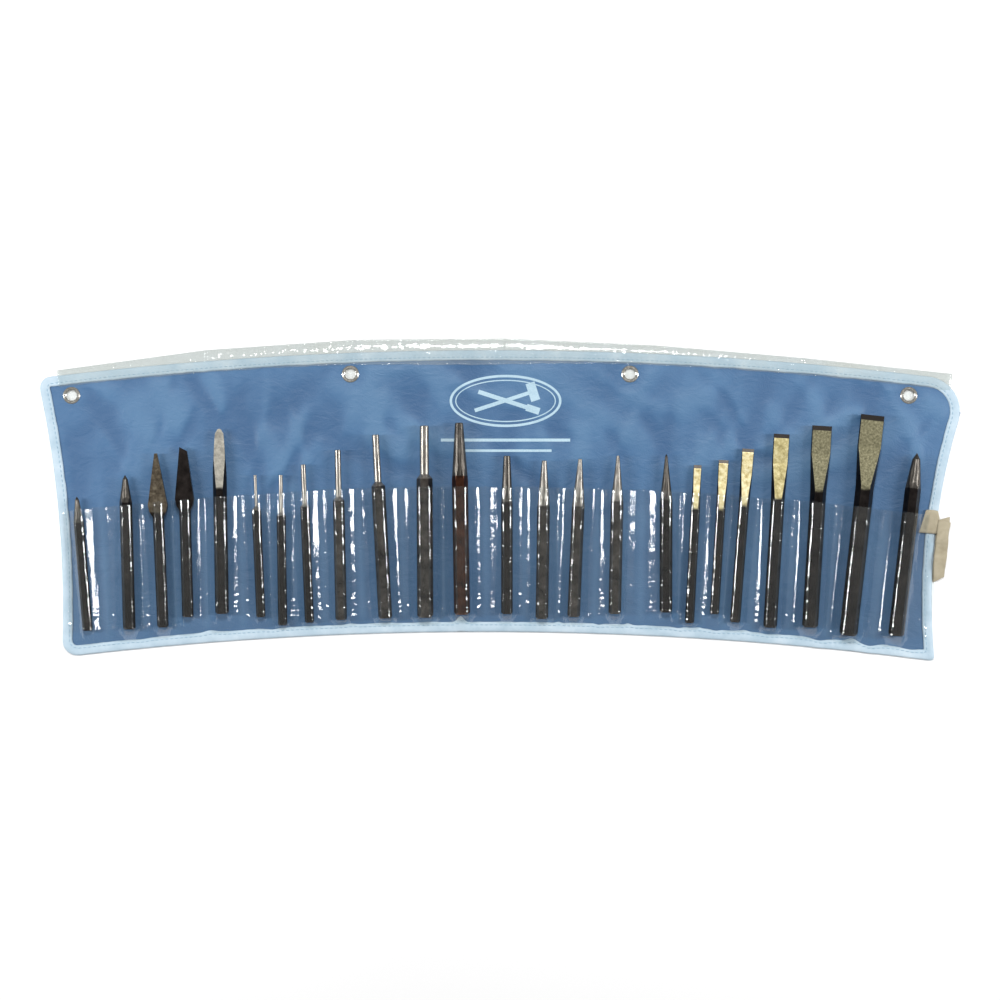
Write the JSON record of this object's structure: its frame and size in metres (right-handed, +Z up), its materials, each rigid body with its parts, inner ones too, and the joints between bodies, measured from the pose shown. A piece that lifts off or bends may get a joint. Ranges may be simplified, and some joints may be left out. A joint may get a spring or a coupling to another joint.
{
  "type": "punch and chisel kit in tool roll",
  "caption": "Open blue vinyl tool roll with clear pockets that hold hex-stock punches and chisels side by side, with hanging eyelets, a clear fold-over flap and a cotton tie tape.",
  "frame": {"origin": "middle of the whole kit's underside", "axes": "+X along the roll's long side, +Y from the pocket floors to the eyelets, +Z up off the face"},
  "size_m": [0.7402, 0.259, 0.0163],
  "materials": {
    "blue_vinyl": "grained blue vinyl-coated cloth",
    "binding_vinyl": "pale blue folded vinyl tape",
    "clear_film": "clear glossy vinyl film",
    "nickel": "nickel-plated",
    "cotton_tape": "unbleached cotton twill tape",
    "black_steel": "black oxide, satin, bright where ground",
    "grey_steel": "grey oxide, satin",
    "brown_steel": "brown lacquered steel"
  },
  "bodies": {
    "roll": {"back_panel": "blue_vinyl", "binding_left": "binding_vinyl", "binding_right": "binding_vinyl", "binding_top": "binding_vinyl", "binding_bottom": "binding_vinyl", "pocket_sheet": "clear_film", "eyelets": "nickel", "eyelet_washers": "nickel", "flap_hem": "clear_film", "tie_tape": "cotton_tape"},
    "centre_punch_small": {"centre_punch_small": "black_steel"},
    "centre_punch_medium": {"centre_punch_medium": "black_steel"},
    "cape_chisel": {"cape_chisel": "black_steel"},
    "diamond_point_chisel": {"diamond_point_chisel": "black_steel"},
    "round_nose_chisel": {"round_nose_chisel": "black_steel"},
    "pin_punch_3_32": {"pin_punch_3_32": "black_steel"},
    "pin_punch_1_8": {"pin_punch_1_8": "black_steel"},
    "pin_punch_5_32": {"pin_punch_5_32": "black_steel"},
    "pin_punch_3_16": {"pin_punch_3_16": "grey_steel"},
    "pin_punch_7_32": {"pin_punch_7_32": "grey_steel"},
    "pin_punch_9_32": {"pin_punch_9_32": "grey_steel"},
    "line_up_punch": {"line_up_punch": "brown_steel"},
    "solid_punch_7_32": {"solid_punch_7_32": "black_steel"},
    "solid_punch_5_32": {"solid_punch_5_32": "grey_steel"},
    "solid_punch_1_8": {"solid_punch_1_8": "grey_steel"},
    "solid_punch_3_32": {"solid_punch_3_32": "grey_steel"},
    "prick_punch": {"prick_punch": "black_steel"},
    "cold_chisel_1_4": {"cold_chisel_1_4": "black_steel"},
    "cold_chisel_5_16": {"cold_chisel_5_16": "black_steel"},
    "cold_chisel_3_8": {"cold_chisel_3_8": "black_steel"},
    "cold_chisel_1_2": {"cold_chisel_1_2": "black_steel"},
    "cold_chisel_5_8": {"cold_chisel_5_8": "black_steel"},
    "cold_chisel_3_4": {"cold_chisel_3_4": "black_steel"},
    "centre_punch_large": {"centre_punch_large": "black_steel"},
    "flap_1": {"flap_1": "clear_film"},
    "flap_2": {"flap_2": "clear_film"},
    "flap_3": {"flap_3": "clear_film"},
    "flap_4": {"flap_4": "clear_film"},
    "flap_5": {"flap_5": "clear_film"},
    "flap_6": {"flap_6": "clear_film"}
  },
  "joints": [
    {"name": "centre_punch_small_slide", "type": "slide", "parent": "roll", "child": "centre_punch_small", "axis": [-0.0819, 0.9966, 0], "range_m": [0, 0.106]},
    {"name": "centre_punch_medium_slide", "type": "slide", "parent": "roll", "child": "centre_punch_medium", "axis": [-0.0279, 0.9996, 0], "range_m": [0, 0.108]},
    {"name": "cape_chisel_slide", "type": "slide", "parent": "roll", "child": "cape_chisel", "axis": [-0.0419, 0.9991, 0], "range_m": [0, 0.109]},
    {"name": "diamond_point_chisel_slide", "type": "slide", "parent": "roll", "child": "diamond_point_chisel", "axis": [-0.0279, 0.9996, 0], "range_m": [0, 0.103]},
    {"name": "round_nose_chisel_slide", "type": "slide", "parent": "roll", "child": "round_nose_chisel", "axis": [-0.0175, 0.9998, 0], "range_m": [0, 0.102]},
    {"name": "pin_punch_3_32_slide", "type": "slide", "parent": "roll", "child": "pin_punch_3_32", "axis": [-0.0419, 0.9991, 0], "range_m": [0, 0.107]},
    {"name": "pin_punch_1_8_slide", "type": "slide", "parent": "roll", "child": "pin_punch_1_8", "axis": [-0.014, 0.9999, 0], "range_m": [0, 0.115]},
    {"name": "pin_punch_5_32_slide", "type": "slide", "parent": "roll", "child": "pin_punch_5_32", "axis": [-0.0401, 0.9992, 0], "range_m": [0, 0.114]},
    {"name": "pin_punch_3_16_slide", "type": "slide", "parent": "roll", "child": "pin_punch_3_16", "axis": [-0.0209, 0.9998, 0], "range_m": [0, 0.113]},
    {"name": "pin_punch_7_32_slide", "type": "slide", "parent": "roll", "child": "pin_punch_7_32", "axis": [-0.0541, 0.9985, 0], "range_m": [0, 0.113]},
    {"name": "pin_punch_9_32_slide", "type": "slide", "parent": "roll", "child": "pin_punch_9_32", "axis": [-0.0052, 1, 0], "range_m": [0, 0.113]},
    {"name": "line_up_punch_slide", "type": "slide", "parent": "roll", "child": "line_up_punch", "axis": [-0.0157, 0.9999, 0], "range_m": [0, 0.111]},
    {"name": "solid_punch_7_32_slide", "type": "slide", "parent": "roll", "child": "solid_punch_7_32", "axis": [0, 1, 0], "range_m": [0, 0.11]},
    {"name": "solid_punch_5_32_slide", "type": "slide", "parent": "roll", "child": "solid_punch_5_32", "axis": [0.0157, 0.9999, 0], "range_m": [0, 0.114]},
    {"name": "solid_punch_1_8_slide", "type": "slide", "parent": "roll", "child": "solid_punch_1_8", "axis": [0.0419, 0.9991, 0], "range_m": [0, 0.112]},
    {"name": "solid_punch_3_32_slide", "type": "slide", "parent": "roll", "child": "solid_punch_3_32", "axis": [0.0209, 0.9998, 0], "range_m": [0, 0.108]},
    {"name": "prick_punch_slide", "type": "slide", "parent": "roll", "child": "prick_punch", "axis": [0.0035, 1, 0], "range_m": [0, 0.105]},
    {"name": "cold_chisel_1_4_slide", "type": "slide", "parent": "roll", "child": "cold_chisel_1_4", "axis": [0.0523, 0.9986, 0], "range_m": [0, 0.113]},
    {"name": "cold_chisel_5_16_slide", "type": "slide", "parent": "roll", "child": "cold_chisel_5_16", "axis": [0.061, 0.9981, 0], "range_m": [0, 0.104]},
    {"name": "cold_chisel_3_8_slide", "type": "slide", "parent": "roll", "child": "cold_chisel_3_8", "axis": [0.0767, 0.9971, 0], "range_m": [0, 0.11]},
    {"name": "cold_chisel_1_2_slide", "type": "slide", "parent": "roll", "child": "cold_chisel_1_2", "axis": [0.061, 0.9981, 0], "range_m": [0, 0.112]},
    {"name": "cold_chisel_5_8_slide", "type": "slide", "parent": "roll", "child": "cold_chisel_5_8", "axis": [0.061, 0.9981, 0], "range_m": [0, 0.109]},
    {"name": "cold_chisel_3_4_slide", "type": "slide", "parent": "roll", "child": "cold_chisel_3_4", "axis": [0.1115, 0.9938, 0], "range_m": [0, 0.113]},
    {"name": "centre_punch_large_slide", "type": "slide", "parent": "roll", "child": "centre_punch_large", "axis": [0.1149, 0.9934, 0], "range_m": [0, 0.109]},
    {"name": "flap_1_fold", "type": "hinge", "parent": "roll", "child": "flap_1", "pos_m": [-0.29675, 0.1121, 0.00013], "axis": [-0.991, -0.1339, 0], "range_deg": [-330, 0]},
    {"name": "flap_2_fold", "type": "hinge", "parent": "roll", "child": "flap_2", "pos_m": [-0.17685, 0.12436, 0.00013], "axis": [-0.9976, -0.0694, 0], "range_deg": [-330, 0]},
    {"name": "flap_3_fold", "type": "hinge", "parent": "roll", "child": "flap_3", "pos_m": [-0.05638, 0.12904, 0.00013], "axis": [-1, -0.0081, 0], "range_deg": [-330, 0]},
    {"name": "flap_4_fold", "type": "hinge", "parent": "roll", "child": "flap_4", "pos_m": [0.06415, 0.12681, 0.00013], "axis": [-0.999, 0.0451, 0], "range_deg": [-330, 0]},
    {"name": "flap_5_fold", "type": "hinge", "parent": "roll", "child": "flap_5", "pos_m": [0.18439, 0.11898, 0.00013], "axis": [-0.9964, 0.0849, 0], "range_deg": [-330, 0]},
    {"name": "flap_6_fold", "type": "hinge", "parent": "roll", "child": "flap_6", "pos_m": [0.30427, 0.10751, 0.00013], "axis": [-0.9944, 0.1055, 0], "range_deg": [-330, 0]}
  ],
  "couplings": [
    {"joint": "flap_2_fold", "follows": "flap_1_fold", "ratio": 1},
    {"joint": "flap_3_fold", "follows": "flap_1_fold", "ratio": 1},
    {"joint": "flap_4_fold", "follows": "flap_1_fold", "ratio": 1},
    {"joint": "flap_5_fold", "follows": "flap_1_fold", "ratio": 1},
    {"joint": "flap_6_fold", "follows": "flap_1_fold", "ratio": 1}
  ]
}
